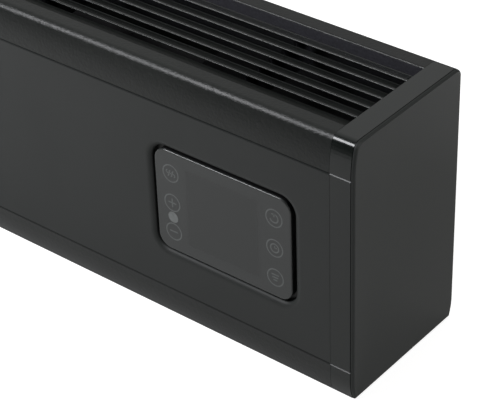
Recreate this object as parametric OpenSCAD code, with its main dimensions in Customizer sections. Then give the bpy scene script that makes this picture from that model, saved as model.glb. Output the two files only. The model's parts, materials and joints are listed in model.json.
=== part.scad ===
// Low convector heater: sheet and profile casing, louvred warm-air outlet, touch display at the
// right end, finned element in the left two thirds, control parts in the right third.
// X runs along the heater, the front faces -Y, and Z = 0 is the face that it stands on.
// The YZ sketches measure y from the front plane to the back, and seat() centres them.

/* [Casing] */
// Overall length over both side plates
case_len = 750; // [700:10:1200]
// Overall depth, front plane to back plane
case_d = 117; // [114:1:130]
// Overall height
case_h = 200; // [190:1:240]
// Thickness of the rails and panels
sheet_t = 1.5; // [1.2:0.1:2]
// Radius of the tight ridge along the upper front corner
ridge_r = 6; // [5.5:0.5:8]
// Radius of the shallow brow below that ridge
brow_r = 70; // [55:5:110]
// Distance from the top to the start of the brow
brow_drop = 23.6; // [20:0.2:24]
// Radius of the upper rear corner
rear_r = 6; // [5:0.5:10]
// Radius of the shallow curve near the floor
foot_curve_r = 45; // [40:1:60]
// Height at which that curve starts
foot_curve_h = 16; // [12:1:18]
// Distance from the top to the upper seam
upper_seam_drop = 26.5; // [24:0.5:30]
// Height of the lower seam
lower_seam_h = 23; // [22:0.5:28]
// Width of the seams between the front profiles
seam_gap = 0.3; // [0.2:0.1:0.6]
// Bevel along both edges of a seam
seam_bevel = 0.5; // [0.3:0.1:0.8]
// Depth of the stiffening flanges behind the seams
seam_flange = 8; // [6:0.5:10]
// Depth of the floor flanges of the bottom rail and the rear panel
floor_flange = 21; // [19:0.5:24]

/* [Louvres] */
// Width of the flat strip in front of the louvres
strip_w = 15.9; // [14:0.1:18]
// Distance from the nose of the last blade to the rear rim
last_gap = 19.2; // [18:0.2:21]
// Gap in plan between a blade's lower edge and the next nose
tip_gap = 0.4; // [0.3:0.1:3]
// Thickness of a blade
blade_t = 1.5; // [1:0.1:1.6]
// Flat width of a blade's nose
nose_w = 0.9; // [0.8:0.1:1.4]
// Outer radius of the bend behind the nose
bend_r = 1.8; // [1.7:0.1:3.5]
// Fall of a blade towards the rear, in degrees
blade_slope = 22; // [20:1:30]
// Radius of the bead along a blade's lower edge
bead_r = 1.05; // [0.85:0.05:1.15]
// Width of the rear rim
rim_w = 15.6; // [14:0.1:17]
// Radius of the rear rim's front edge
rim_edge_r = 1.4; // [1:0.1:2]
// Height of the wall that hangs from the rear rim
rim_wall_h = 40; // [30:1:48]
// Number of ribs under the blades
rib_count = 4; // [2:1:4]
// Thickness of a rib
rib_t = 2; // [1.5:0.1:3]

/* [End caps] */
// Visible width of an end cap's band
band_w = 15.9; // [12:0.1:20]
// Wall thickness of the end caps
cap_wall = 2.5; // [2:0.1:3]
// Groove between an end cap and its side plate
plate_groove = 0.4; // [0.3:0.1:0.8]
// Thickness of a side plate
plate_t = 2.4; // [2.2:0.1:4]
// Radius round the rim of a side plate
plate_edge_r = 1.8; // [1:0.1:2]
// Depth of the moulded lines that continue the seams
cap_line_d = 0.5; // [0.3:0.1:0.8]
// Length of the tongues that slip inside the casing
tongue_len = 12; // [8:1:14]

/* [Display] */
// Distance from the right end to the middle of the display
display_from_end = 107.4; // [100:0.2:125]
// Height of the middle of the display
display_h = 98.4; // [90:0.5:105]
// Width of the opening in the front panel
opening_w = 120.6; // [117:0.2:126]
// Height of the opening
opening_h = 84.5; // [83:0.5:92]
// Corner radius of the opening
opening_r = 12; // [10:0.5:14]
// Width of the rolled lip round the opening
lip_w = 5; // [3:0.1:6]
// Depth of that lip's roll
lip_d = 3; // [2.2:0.1:4]
// Depth of the straight collar behind the lip
collar_d = 3; // [2:0.5:4]
// Width of the cover glass
glass_w = 115; // [108:0.5:115.5]
// Height of the cover glass
glass_h = 80.5; // [76:0.5:82]
// Corner radius of the cover glass
glass_r = 10; // [8:0.5:12]
// Depth of the cover glass below the front plane
glass_recess = 0.45; // [0.2:0.05:0.8]
// Thickness of the cover glass
glass_t = 1.5; // [1.2:0.1:2]
// Radius ground along its front edge
glass_edge_r = 1; // [0.5:0.1:1.1]
// Side of the square screen module
screen_w = 66; // [60:0.5:70]
// Radius of the round sensor lens
lens_r = 4.3; // [3:0.1:5]
// Distance from the middle of the display out to the lens
lens_out = 43.6; // [41:0.2:46]
// Distance from the middle of the display down to the lens
lens_down = 12.8; // [10:0.2:14]

/* [Element] */
// Radius of the tubular heating rod
rod_r = 4; // [3.5:0.1:4.5]
// Spacing of the rod's two legs
leg_pitch = 28; // [24:1:32]
// Height of the lower leg
low_leg_h = 58; // [54:1:66]
// Length of a diagonal fin
fin_len = 30; // [20:1:34]
// Thickness of the fins
fin_t = 1.8; // [1.2:0.1:2.5]
// Distance from the left end to the left bracket
left_bracket_in = 66; // [62:1:90]
// Distance from the right end to the partition
partition_in = 184; // [178:1:190]
// Thickness of brackets, shields and partition
plate_metal_t = 1.2; // [0.8:0.1:1.5]
// Distance from the front plane to the front heat shield
shield_in = 24; // [23:0.5:27]

/* [Base] */
// Thickness of the base plate
base_t = 1.2; // [1:0.1:1.5]
// Length of an air slot
slot_len = 60; // [40:1:64]
// Width of an air slot
slot_w = 6; // [4:0.5:7]
// Spacing of the air slots
slot_pitch = 75; // [70:1:90]
// Bore radius of the foot nuts
foot_bore_r = 2.1; // [1.7:0.1:2.5]
// Distance from each end to the foot nuts
foot_in = 40; // [38:1:44]
// Distance from the middle plane to the foot nuts
foot_half_pitch = 24.5; // [20:0.5:26]

/* [Rear side] */
// Half the spacing of the wall keyholes
keyhole_half_pitch = 220; // [100:5:240]
// Height of the wall keyholes
keyhole_h = 140; // [120:1:150]
// Radius of a keyhole's round opening
keyhole_r = 4.5; // [4:0.1:5.5]
// Distance from the right end to the middle of the inlet recess
recess_from_end = 70; // [66:1:90]
// Height of the middle of the inlet recess
recess_h = 48; // [44:1:60]
// Inside width of the inlet recess
recess_w = 62; // [56:1:66]
// Inside height of the inlet recess
recess_hh = 42; // [36:1:46]
// Depth of the inlet recess
recess_d = 18; // [14:0.5:20]
// Bore radius of the cable gland
gland_bore_r = 3.9; // [3.2:0.1:4.5]

/* [Hidden] */
$fn = 64;

// Clearances
seat_gap = 0.3;
slip_gap = 0.1;
shaft_gap = 0.05;
eps = 0.01;

// Lengths along X
half_len = case_len / 2;
band_end = half_len - plate_t - plate_groove;
band_start = band_end - band_w;
shell_end = band_start - 0.2;
plate_in = 0.15;
mid_y = case_d / 2;

// Seams and casing levels
upper_seam_h = case_h - upper_seam_drop;
panel_top = upper_seam_h - seam_gap / 2;
panel_bottom = lower_seam_h + seam_gap / 2;
base_top = sheet_t + base_t;

// Upper front corner: the brow's arc and the ridge's arc share a tangent
brow_z = case_h - brow_drop;
brow_sweep = asin((case_h - ridge_r - brow_z) / (brow_r - ridge_r));
ridge_y = brow_r - (brow_r - ridge_r) * cos(brow_sweep);

// Louvres
blade_count = 5;
rim_y = case_d - rim_w;
blade_pitch = (rim_y - last_gap - strip_w + nose_w) / blade_count;
first_nose = strip_w - nose_w + blade_pitch;
tail_out = blade_pitch - tip_gap;
bend_out = nose_w + (bend_r - blade_t / 2) * sin(blade_slope);
blade_run = (tail_out - bead_r - bend_out) / cos(blade_slope);
tail_in = nose_w + (bend_r - blade_t) * sin(blade_slope) + blade_run * cos(blade_slope);
tail_drop = bend_r - (bend_r - blade_t) * cos(blade_slope) + blade_run * sin(blade_slope);
rib_gap = bead_r - blade_t / 2 + seat_gap;

// Screw channels of the two rails
port_r = 4;
port_bore_r = 1.95;
screw_r = 1.9;
screw_head_r = 3.3;
screw_head_t = 2.4;
screw_len = 14;
head_room = cap_wall + screw_head_r + seat_gap;
port_in = max(head_room, ridge_r);
top_port = [brow_y(case_h - port_in, port_in), case_h - port_in];
foot_inset = foot_curve_r - sqrt(pow(foot_curve_r, 2) - pow(foot_curve_h, 2));
bottom_port = [foot_inset + head_room, head_room];
base_plate_y = bottom_port[0] + port_r + 2 * seat_gap;

// Tabs at the ends of the rear panel that take the rear cap screws
tab_heights = [70, 138];
tab_h = 18;
tab_y = case_d - sheet_t - 7;
rear_tongue = [tab_heights[0] + tab_h, tab_heights[1] - tab_h];

// Spring clips behind the seams
clip_count = 5;
clip_w = 12;
clip_in = 60;

// Display
display_x = half_len - display_from_end;
glass_back = glass_recess + glass_t;
flange_y = lip_d + collar_d + 0.2;
flange_t = 2;
housing_margin = 8;
housing_back = flange_y + flange_t + 16;
stud_r = 1.5;
stud_out = (opening_r + lip_w + stud_r + 0.6) / sqrt(2) - opening_r;
board_t = 1.6;
ribbon_w = 16;
ribbon_t = 0.8;

// Element
leg_heights = [low_leg_h, low_leg_h + leg_pitch];
left_bracket_x = -half_len + left_bracket_in;
partition_x = half_len - partition_in;
right_bracket_x = partition_x - 13;
bush_r = 6;
bush_flange_r = 9;
bush_flange_t = 2.5;
bush_neck = 5;
rod_end = partition_x - 6;
lead_r = 1.6;
bracket_w = 36;
bracket_foot = 10;
bracket_over = 26;
shield_foot = 9;
shield_lip = 7;

// Control parts
carrier_y = mid_y + 6.5;
board_y = carrier_y - 6.4 - board_t;
board_x = partition_x + 34;
board_w = 118;
board_h = 84;
board_z = 36;
carrier_foot = 14;
relay_h = 12.5;
relay_below_ribbon = 7.5;
relay_z = display_h - ribbon_t / 2 - relay_below_ribbon - relay_h - board_z;
block_x = partition_x + 21;
partition_top = case_h - rim_wall_h - 2;
partition_foot = [12, 70];
cover_hook = 10;
cover_short = 6;

// Foot nuts
foot_flange_t = 0.8;
foot_nut_h = 10;

// Inlet recess, rocker switch and gland
recess_x = half_len - recess_from_end;
recess_floor = case_d - recess_d;
recess_wall = 2;
switch_x = recess_x - 15;
gland_x = recess_x + 15;
switch_body = [12.6, 16, 19];
switch_bezel = [15, 2, 21];
gland_neck_r = gland_bore_r + 2.6;
gland_nut_t = 4;
rocker_half = 7.6;
rocker_w = 10.6;
rocker_tilt = 12;
pivot_y = recess_floor - 1.4;
pivot_r = 1.25;

// Moves a piece from the front plane's frame to the heater's middle plane
module seat() translate([0, -mid_y, 0]) children();

// A YZ sketch drawn out along X
module along_x(x0, x1) translate([x0, 0, 0]) rotate([90, 0, 90]) linear_extrude(x1 - x0) children();

// An XZ sketch or solid laid on the plane y = y0, with its own depth running backwards
module facing_front(y0) translate([0, y0, 0]) mirror([0, 1, 0]) rotate([90, 0, 0]) children();

// A revolved solid whose axis runs along X from the given point
module axis_x(x, y, z) translate([x, y, z]) rotate([0, 90, 0]) children();

// A revolved solid whose axis runs backwards from the given point
module axis_y(x, y, z) translate([x, y, z]) rotate([-90, 0, 0]) children();

module both_ends() {
    children();
    mirror([1, 0, 0]) children();
}

module rounded_rect(w, h, r) {
    square([w - 2 * r, h], center = true);
    square([w, h - 2 * r], center = true);
    for (sx = [-1, 1], sy = [-1, 1])
        translate([sx * (w / 2 - r), sy * (h / 2 - r)]) circle(r);
}

// Points up the brow and over the ridge, for the outline drawn in by the given amount
function brow_line(inset, brow_steps = 8) = concat(
    [for (i = [0:brow_steps - 1]) let (a = 180 - brow_sweep * i / brow_steps)
        [brow_r, brow_z] + (brow_r - inset) * [cos(a), sin(a)]],
    arc([ridge_y, case_h - ridge_r], ridge_r - inset, 180 - brow_sweep, 90, 12));

// Place of the brow at a height, drawn in by the given amount
function brow_y(z, inset) = brow_r - sqrt(pow(brow_r - inset, 2) - pow(max(0, z - brow_z), 2));

// Cross-section of the casing, drawn in by an even amount
module section(inset = 0) {
    difference() {
        translate([inset, inset]) square([case_d - 2 * inset, case_h - 2 * inset]);
        polygon(concat([[inset - 1, case_h + 1], [inset - 1, brow_z]], brow_line(inset),
            [[ridge_y, case_h + 1]]));
        difference() {
            translate([case_d - rear_r, case_h - rear_r]) square([rear_r - inset + 1, rear_r + 1]);
            translate([case_d - rear_r, case_h - rear_r]) circle(rear_r - inset);
        }
        foot_cut(inset);
        translate([case_d, 0]) mirror([1, 0]) foot_cut(inset);
    }
}

module foot_cut(inset) {
    difference() {
        translate([inset - 1, -1]) square([7, foot_curve_h + 1]);
        translate([foot_curve_r, foot_curve_h]) circle(foot_curve_r - inset, $fn = 3 * $fn);
    }
}

module section_wall(t) {
    difference() {
        section(0);
        section(t);
    }
}

function oval_arc(centre, half_w, half_h, from, to, steps = 8) =
    [for (i = [0:steps]) let (a = from + (to - from) * i / steps)
        centre + [half_w * cos(a), half_h * sin(a)]];

function arc(centre, r, from, to, steps = 8) = oval_arc(centre, r, r, from, to, steps);

// Outline of the bend, slope and beaded edge shared by the top rail and the blades,
// from the underside at the start round to the top face
function louvre_tail(start = 0) =
    let (centre = [start, -bend_r],
         bead = centre + (bend_r - blade_t / 2) * [sin(blade_slope), cos(blade_slope)]
             + blade_run * [cos(blade_slope), -sin(blade_slope)],
         reach = 180 - asin(blade_t / 2 / bead_r))
    concat(
        arc(centre, bend_r - blade_t, 90, 90 - blade_slope),
        arc(bead, bead_r, -reach - blade_slope, reach - blade_slope, 16),
        arc(centre, bend_r, 90 - blade_slope, 90));

module blade_profile()
    polygon(concat(louvre_tail(nose_w), arc([blade_t / 2, -blade_t / 2], blade_t / 2, 90, 270)));

module seam_notch(z, up) translate([0, z])
    polygon([[-eps, -eps * up], [seam_bevel, -eps * up], [-eps, (seam_bevel + eps) * up]]);

// Screw channel on a web that stands out from the wall at the given angle
module port_ring(at, web_angle) translate(at) {
    circle(port_r);
    rotate(web_angle) translate([0, -1.2]) square([port_r + 3, 2.4]);
}

module port_bore(at) translate(at) circle(port_bore_r);

// Casing

module top_rail() color("#3d403f") seat() along_x(-shell_end, shell_end) difference() {
    union() {
        intersection() {
            section_wall(sheet_t);
            translate([-1, upper_seam_h + seam_gap / 2]) square([strip_w, case_h]);
        }
        translate([0, upper_seam_h + seam_gap / 2]) square([seam_flange, sheet_t]);
        intersection() {
            port_ring(top_port, 135);
            section(sheet_t / 2);
        }
        translate([0, case_h])
            polygon(concat(louvre_tail(strip_w), [[strip_w - 1.5, 0], [strip_w - 1.5, -sheet_t]]));
    }
    port_bore(top_port);
    seam_notch(upper_seam_h + seam_gap / 2, 1);
}

module front_panel() color("#3b3f3e") seat() {
    difference() {
        along_x(-shell_end, shell_end) difference() {
            union() {
                translate([0, panel_bottom]) square([sheet_t, panel_top - panel_bottom]);
                translate([0, panel_bottom]) square([seam_flange, sheet_t]);
                translate([0, panel_top - sheet_t]) square([seam_flange, sheet_t]);
            }
            seam_notch(panel_top, -1);
            seam_notch(panel_bottom, 1);
        }
        translate([display_x, 0, display_h]) facing_front(-1) linear_extrude(sheet_t + 2)
            rounded_rect(opening_w + 2 * lip_w, opening_h + 2 * lip_w, opening_r + lip_w);
    }
    translate([display_x, 0, display_h]) facing_front(0) {
        swept_round(opening_w, opening_h, opening_r) lip_profile();
        for (sx = [-1, 1], sz = [-1, 1])
            translate([sx * (opening_w / 2 + stud_out), sz * (opening_h / 2 + stud_out), sheet_t])
                cylinder(h = flange_y + flange_t + 4 - sheet_t, r = stud_r);
    }
}

// Profile of the rolled lip: distance out from the opening's edge, and depth
module lip_profile() {
    centre = [lip_w, lip_d];
    polygon(concat(
        oval_arc(centre, lip_w - sheet_t, lip_d - sheet_t, 270, 180, 12),
        [[sheet_t, lip_d + collar_d], [0, lip_d + collar_d]],
        oval_arc(centre, lip_w, lip_d, 180, 270, 12)));
}

// A profile swept round a rounded rectangle; its first coordinate runs outwards from the edge
module swept_round(w, h, r) {
    for (k = [0:3]) rotate([0, 0, 90 * k]) {
        half = k % 2 == 0 ? w / 2 : h / 2;
        span = (k % 2 == 0 ? h : w) - 2 * r;
        translate([half, span / 2, 0]) rotate([90, 0, 0]) linear_extrude(span) children();
        translate([half - r, span / 2, 0]) rotate_extrude(angle = 90) translate([r, 0]) children();
    }
}

module bottom_rail() color("#3d403f") seat() difference() {
    along_x(-shell_end, shell_end) difference() {
        union() {
            intersection() {
                section_wall(sheet_t);
                translate([-1, -1]) square([floor_flange + 4, lower_seam_h - seam_gap / 2 + 1]);
            }
            translate([0, lower_seam_h - seam_gap / 2 - sheet_t]) square([seam_flange, sheet_t]);
            intersection() {
                port_ring(bottom_port, -90);
                translate([0, sheet_t / 2]) square(2 * port_r + bottom_port[0]);
            }
        }
        port_bore(bottom_port);
        seam_notch(lower_seam_h - seam_gap / 2, -1);
    }
    base_screw_places() translate([0, 0, -1]) cylinder(h = sheet_t + 2, r = screw_r + shaft_gap);
}

module rear_panel() color("#404443") seat() difference() {
    union() {
        along_x(-shell_end, shell_end) {
            intersection() {
                section_wall(sheet_t);
                union() {
                    translate([rim_y + rim_edge_r, case_h / 2]) square([rim_w, case_h]);
                    translate([case_d - floor_flange - 4, -1]) square([floor_flange + 5, case_h / 2 + 2]);
                }
            }
            translate([rim_y + rim_edge_r, case_h - rim_edge_r]) intersection() {
                difference() {
                    circle(rim_edge_r);
                    circle(max(rim_edge_r - sheet_t, 0.1));
                }
                translate([-rim_edge_r, 0]) square(rim_edge_r);
            }
            translate([rim_y, case_h - rim_wall_h]) square([sheet_t, rim_wall_h - rim_edge_r]);
        }
        both_ends() for (z = tab_heights)
            translate([shell_end - sheet_t, tab_y - tab_h / 2, z - tab_h / 2])
                cube([sheet_t, case_d - sheet_t - tab_y + tab_h / 2 + eps, tab_h]);
    }
    both_ends() for (z = tab_heights)
        axis_x(shell_end - sheet_t - 1, tab_y, z) cylinder(h = sheet_t + 2, r = screw_r + shaft_gap);
    base_screw_places() translate([0, 0, -1]) cylinder(h = sheet_t + 2, r = screw_r + shaft_gap);
    for (s = [-1, 1]) translate([s * keyhole_half_pitch, 0, keyhole_h]) {
        axis_y(0, case_d - sheet_t - 1, 0) cylinder(h = sheet_t + 2, r = keyhole_r);
        translate([-keyhole_r / 2, case_d - sheet_t - 1, 0]) cube([keyhole_r, sheet_t + 2, 3 * keyhole_r]);
        axis_y(0, case_d - sheet_t - 1, 3 * keyhole_r) cylinder(h = sheet_t + 2, r = keyhole_r / 2);
    }
    recess_grown = 2 * recess_wall + 2 * seat_gap;
    translate([recess_x, 0, recess_h]) facing_front(case_d - sheet_t - 1) linear_extrude(sheet_t + 2)
        rounded_rect(recess_w + recess_grown, recess_hh + recess_grown, 6);
}

// Places of the screws that hold the base plate to the floor flanges
module base_screw_places() {
    for (x = [-half_len + 56, 0, half_len - 56], y = [floor_flange - 2.6, case_d - floor_flange + 2.6])
        translate([x, y, 0]) children();
}

module base_plate() color("#8c9092") seat() difference() {
    translate([-shell_end, base_plate_y, sheet_t])
        cube([2 * shell_end, case_d - 2 * base_plate_y, base_t]);
    base_screw_places() translate([0, 0, sheet_t - 1]) cylinder(h = base_t + 2, r = screw_r + slip_gap);
    foot_places() translate([0, 0, sheet_t - 1]) cylinder(h = base_t + 2, r = foot_bore_r + 1.4);
    air_slots = floor((case_len / 2 - 75) / slot_pitch);
    for (i = [-air_slots:air_slots], y = [mid_y - 14, mid_y + 14]) translate([i * slot_pitch, y, sheet_t - 1])
        if (abs(i * slot_pitch - partition_x - 7) > slot_len / 2 + 8) linear_extrude(base_t + 2) {
            square([slot_len - slot_w, slot_w], center = true);
            for (s = [-1, 1]) translate([s * (slot_len - slot_w) / 2, 0]) circle(slot_w / 2);
        }
}

module foot_places() {
    for (x = [-half_len + foot_in, half_len - foot_in], s = [-1, 1])
        translate([x, mid_y + s * foot_half_pitch, 0]) children();
}

module foot_nuts() color("#b9bcbd") seat() foot_places() difference() {
    union() {
        translate([0, 0, sheet_t - foot_flange_t]) cylinder(h = foot_flange_t, r = foot_bore_r + 2.9);
        translate([0, 0, sheet_t]) cylinder(h = foot_nut_h, r = foot_bore_r + 1.3);
    }
    cylinder(h = sheet_t + foot_nut_h + 1, r = foot_bore_r);
}

// Louvres

module louvre_blade(i) color("#3f4241") seat()
    along_x(-shell_end, shell_end) translate([first_nose + i * blade_pitch, case_h]) blade_profile();

// A comb under the blades: each tooth follows the underside of one blade
module rib_profile() {
    low = upper_seam_h + seam_gap / 2 + sheet_t + seat_gap;
    step_front = top_port[0] + port_r + seat_gap;
    step_low = top_port[1] - port_r - 3;
    front = brow_y(step_low, sheet_t + seat_gap);
    tooth_top = case_h - blade_t - rib_gap;
    strip_under = min(tooth_top, case_h - sheet_t - seat_gap);
    tail_under = case_h - tail_drop - rib_gap;
    noses = [for (i = [0:blade_count - 1]) first_nose + i * blade_pitch];
    teeth = [for (n = noses) each [
        [n, tooth_top], [n + nose_w, tooth_top], [n + tail_in, tail_under],
        [n + tail_out + seat_gap, tail_under]]];
    polygon(concat(
        [[front, low], [front, step_low], [step_front, step_low]],
        [[step_front, strip_under], [strip_w, strip_under], [strip_w - nose_w + tail_in, tail_under]],
        [[strip_w - nose_w + tail_out + seat_gap, tail_under]],
        [for (p = teeth) [min(p[0], rim_y - seat_gap), p[1]]],
        [[rim_y - seat_gap, low]]));
}

module grille_ribs() color("#2b2d2e") seat() for (i = [0:rib_count - 1]) {
    x = -shell_end + (i + 0.5) * 2 * shell_end / rib_count;
    along_x(x - rib_t / 2, x + rib_t / 2) rib_profile();
}

// End caps

module cap_screw_places() {
    translate([0, top_port[0], top_port[1]]) children();
    translate([0, bottom_port[0], bottom_port[1]]) children();
    for (z = tab_heights) translate([0, tab_y, z]) children();
}

module tongue(y0, y1, z0, z1) {
    along_x(band_start - tongue_len, band_start + eps) intersection() {
        difference() {
            section(sheet_t + seat_gap);
            section(sheet_t + seat_gap + cap_wall);
        }
        translate([y0, z0]) square([y1 - y0, z1 - z0]);
    }
}

module end_cap() {
    difference() {
        union() {
            along_x(band_start, band_end) section_wall(cap_wall);
            along_x(band_start, band_start + cap_wall) section(0.2);
            tongue(0, mid_y, lower_seam_h + 12, upper_seam_h - 12);
            tongue(mid_y, case_d, rear_tongue[0], rear_tongue[1]);
        }
        translate([band_start - 1, 0, 0]) cap_screw_places()
            rotate([0, 90, 0]) cylinder(h = cap_wall + 2, r = screw_r + slip_gap);
        for (z = [lower_seam_h, upper_seam_h])
            along_x(band_start - 1, band_end + 1) translate([0, z]) rotate(45)
                square(cap_line_d * sqrt(2), center = true);
    }
}

module right_end_cap() color("#414544") seat() end_cap();
module left_end_cap() color("#414544") seat() mirror([1, 0, 0]) end_cap();

// A side plate: a flat face with a rounded rim, and a skirt that slips inside the band
module side_plate() {
    hull() for (a = [0:18:90]) {
        back = a == 0 ? plate_t - plate_edge_r : 0.04;
        x = half_len - plate_edge_r * (1 - sin(a));
        along_x(x - back, x) section(plate_in + plate_edge_r * (1 - cos(a)), $fn = 32);
    }
    difference() {
        along_x(band_start + cap_wall, band_end + plate_groove + eps) difference() {
            section(cap_wall + seat_gap);
            section(cap_wall + seat_gap + 2);
        }
        translate([band_start + cap_wall - 1, 0, 0]) cap_screw_places()
            rotate([0, 90, 0]) cylinder(h = screw_head_t + 1 + seat_gap, r = screw_head_r + seat_gap);
    }
}

module right_side_plate() color("#424645") seat() side_plate();
module left_side_plate() color("#424645") seat() mirror([1, 0, 0]) side_plate();

// Pan-head screw along +X, its head's seat at the origin and its shank towards -X
module screw(len, r = screw_r, head_r = screw_head_r, head_t = screw_head_t) {
    axis_x(-len, 0, 0) cylinder(h = len + eps, r = r);
    axis_x(0, 0, 0) difference() {
        cylinder(h = head_t, r1 = head_r, r2 = head_r * 0.8);
        for (a = [0, 90]) rotate([0, 0, a]) translate([0, 0, head_t])
            cube([1.1 * head_r, 0.9, head_t], center = true);
    }
}

module cap_screws() color("#9a9d9f") seat() both_ends()
    translate([band_start + cap_wall, 0, 0]) cap_screw_places() screw(screw_len);

module base_screws() color("#9a9d9f") seat() base_screw_places()
    translate([0, 0, base_top]) rotate([0, -90, 0]) screw(base_top - 0.3);

// Spring clips that hold the front panel's flanges to those of the rails
module seam_clips() {
    depth = 2 * sheet_t + seam_gap + 2 * slip_gap;
    color("#a3a6a8") seat() for (i = [0:clip_count - 1], z = [lower_seam_h, upper_seam_h]) {
        x = -shell_end + clip_in + i * 2 * (shell_end - clip_in) / (clip_count - 1);
        along_x(x - clip_w / 2, x + clip_w / 2) translate([seam_flange - 4, z]) difference() {
            translate([0, -depth / 2 - 0.6]) square([4 + slip_gap + 0.6, depth + 1.2]);
            translate([-1, -depth / 2]) square([5 + slip_gap, depth]);
        }
    }
}

// Display

module at_display() seat() translate([display_x, 0, display_h]) children();

// Half section of the ground edge: distance out from the flat face, and depth
module glass_edge() polygon(concat(
    [[0, glass_t], [0, 0]], arc([0, glass_edge_r], glass_edge_r, 270, 360), [[glass_edge_r, glass_t]]));

module display_glass() color("#4a4e4f") at_display() difference() {
    facing_front(glass_recess) {
        flat_w = glass_w - 2 * glass_edge_r;
        flat_h = glass_h - 2 * glass_edge_r;
        flat_r = glass_r - glass_edge_r;
        linear_extrude(glass_t) rounded_rect(flat_w, flat_h, flat_r);
        swept_round(flat_w, flat_h, flat_r) glass_edge();
    }
    axis_y(-lens_out, -1, -lens_down) cylinder(h = glass_back + 2, r = lens_r + slip_gap);
}

module sensor_lens() color("#c9cccb") at_display()
    axis_y(-lens_out, glass_recess, -lens_down)
        cylinder(h = flange_y - board_t - seat_gap - glass_recess, r = lens_r);

module display_housing() color("#17181a") at_display() {
    plinth_w = glass_w - 0.8;
    plinth_h = glass_h - 0.8;
    plinth_r = glass_r - 0.4;
    plinth_wall = 2.4;
    difference() {
        union() {
            facing_front(flange_y) linear_extrude(flange_t)
                rounded_rect(opening_w + 2 * housing_margin, opening_h + 2 * housing_margin, housing_margin);
            facing_front(glass_back) linear_extrude(flange_y - glass_back + eps) difference() {
                rounded_rect(plinth_w, plinth_h, plinth_r);
                rounded_rect(plinth_w - 2 * plinth_wall, plinth_h - 2 * plinth_wall, plinth_r - plinth_wall);
            }
            facing_front(flange_y + flange_t - eps) linear_extrude(housing_back - flange_y - flange_t)
                difference() {
                    rounded_rect(plinth_w, plinth_h, plinth_r);
                    rounded_rect(plinth_w - 4, plinth_h - 4, plinth_r - 2);
                }
        }
        facing_front(flange_y - 1) linear_extrude(flange_t + 2) rounded_rect(glass_w - 24, glass_h - 24, 6);
        for (sx = [-1, 1], sz = [-1, 1])
            axis_y(sx * (opening_w / 2 + stud_out), flange_y - 1, sz * (opening_h / 2 + stud_out))
                cylinder(h = flange_t + 2, r = stud_r + slip_gap);
    }
}

module lcd_module() color("#2a2d2c") at_display()
    facing_front(glass_back + slip_gap) linear_extrude(flange_y - board_t - glass_back - slip_gap)
        rounded_rect(screen_w, screen_w, 1.5);

module touch_board() color("#1f4a33") at_display()
    facing_front(flange_y - board_t) linear_extrude(board_t) rounded_rect(glass_w - 6.4, glass_h - 6.4, 7);

module housing_nuts() color("#b9bcbd") at_display()
    for (sx = [-1, 1], sz = [-1, 1])
        axis_y(sx * (opening_w / 2 + stud_out), flange_y + flange_t, sz * (opening_h / 2 + stud_out))
            difference() {
                cylinder(h = 2.4, r = 3.2, $fn = 6);
                translate([0, 0, -1]) cylinder(h = 5, r = stud_r + shaft_gap);
            }

// Element

module fin_profile_sketch() {
    difference() {
        union() {
            for (z = leg_heights) translate([mid_y, z]) circle(rod_r + 3);
            translate([mid_y - fin_t / 2, low_leg_h]) square([fin_t, leg_pitch]);
            for (s = [0, 1], a = [35, 65, 115, 145])
                translate([mid_y, leg_heights[s]]) rotate(s == 1 ? a : -a)
                    translate([0, -fin_t / 2]) square([fin_len + rod_r, fin_t]);
        }
        for (z = leg_heights) translate([mid_y, z]) circle(rod_r + shaft_gap);
    }
}

module fin_profile() color("#c3c6c8") seat()
    along_x(left_bracket_x + 14, right_bracket_x - 14) fin_profile_sketch();

module heating_rod() color("#8b8478") seat() {
    for (z = leg_heights) {
        axis_x(left_bracket_x - 10, mid_y, z) cylinder(h = rod_end - left_bracket_x + 10, r = rod_r);
        axis_x(rod_end - eps, mid_y, z) cylinder(h = 3, r = lead_r);
    }
    translate([left_bracket_x - 10 + eps, mid_y, low_leg_h + leg_pitch / 2]) rotate([90, 0, 0])
        rotate([0, 0, 90]) rotate_extrude(angle = 180) translate([leg_pitch / 2, 0]) circle(rod_r);
}

module element_bracket(x) {
    difference() {
        union() {
            along_x(x, x + plate_metal_t) translate([mid_y - bracket_w / 2, base_top])
                square([bracket_w, low_leg_h + leg_pitch + bracket_over - base_top]);
            translate([x - bracket_foot + plate_metal_t, mid_y - bracket_w / 2, base_top])
                cube([bracket_foot, bracket_w, plate_metal_t]);
        }
        for (z = leg_heights) axis_x(x - 1, mid_y, z) cylinder(h = plate_metal_t + 2, r = bush_r + shaft_gap);
    }
}

module left_element_bracket() color("#9b9fa1") seat() element_bracket(left_bracket_x);
module right_element_bracket() color("#9b9fa1") seat() element_bracket(right_bracket_x);

// Each bush sits in its bracket's hole, its flange against the face towards the fins
module ceramic_bushes() color("#e4e0d6") seat() for (z = leg_heights, s = [-1, 1]) {
    face = s < 0 ? left_bracket_x + plate_metal_t : right_bracket_x;
    translate([face, mid_y, z]) rotate([0, 90 * s, 0]) rotate_extrude() difference() {
        union() {
            translate([0, -bush_flange_t]) square([bush_flange_r, bush_flange_t]);
            square([bush_r, bush_neck]);
        }
        translate([-1, -10]) square([rod_r + shaft_gap + 1, 30]);
    }
}

// Each shield stands on a foot flange that points away from the element
module heat_shield() {
    top = case_h - rim_wall_h - 6;
    along_x(left_bracket_x - 8, right_bracket_x + 6) {
        translate([shield_in, base_top]) square([plate_metal_t, top - base_top]);
        translate([shield_in, base_top]) square([shield_foot, plate_metal_t]);
        translate([shield_in, top - plate_metal_t]) rotate(-60) square([shield_lip, plate_metal_t]);
    }
}

module front_heat_shield() color("#aeb2b4") seat() heat_shield();
module rear_heat_shield() color("#aeb2b4") seat() translate([0, case_d, 0]) mirror([0, 1, 0]) heat_shield();

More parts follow.
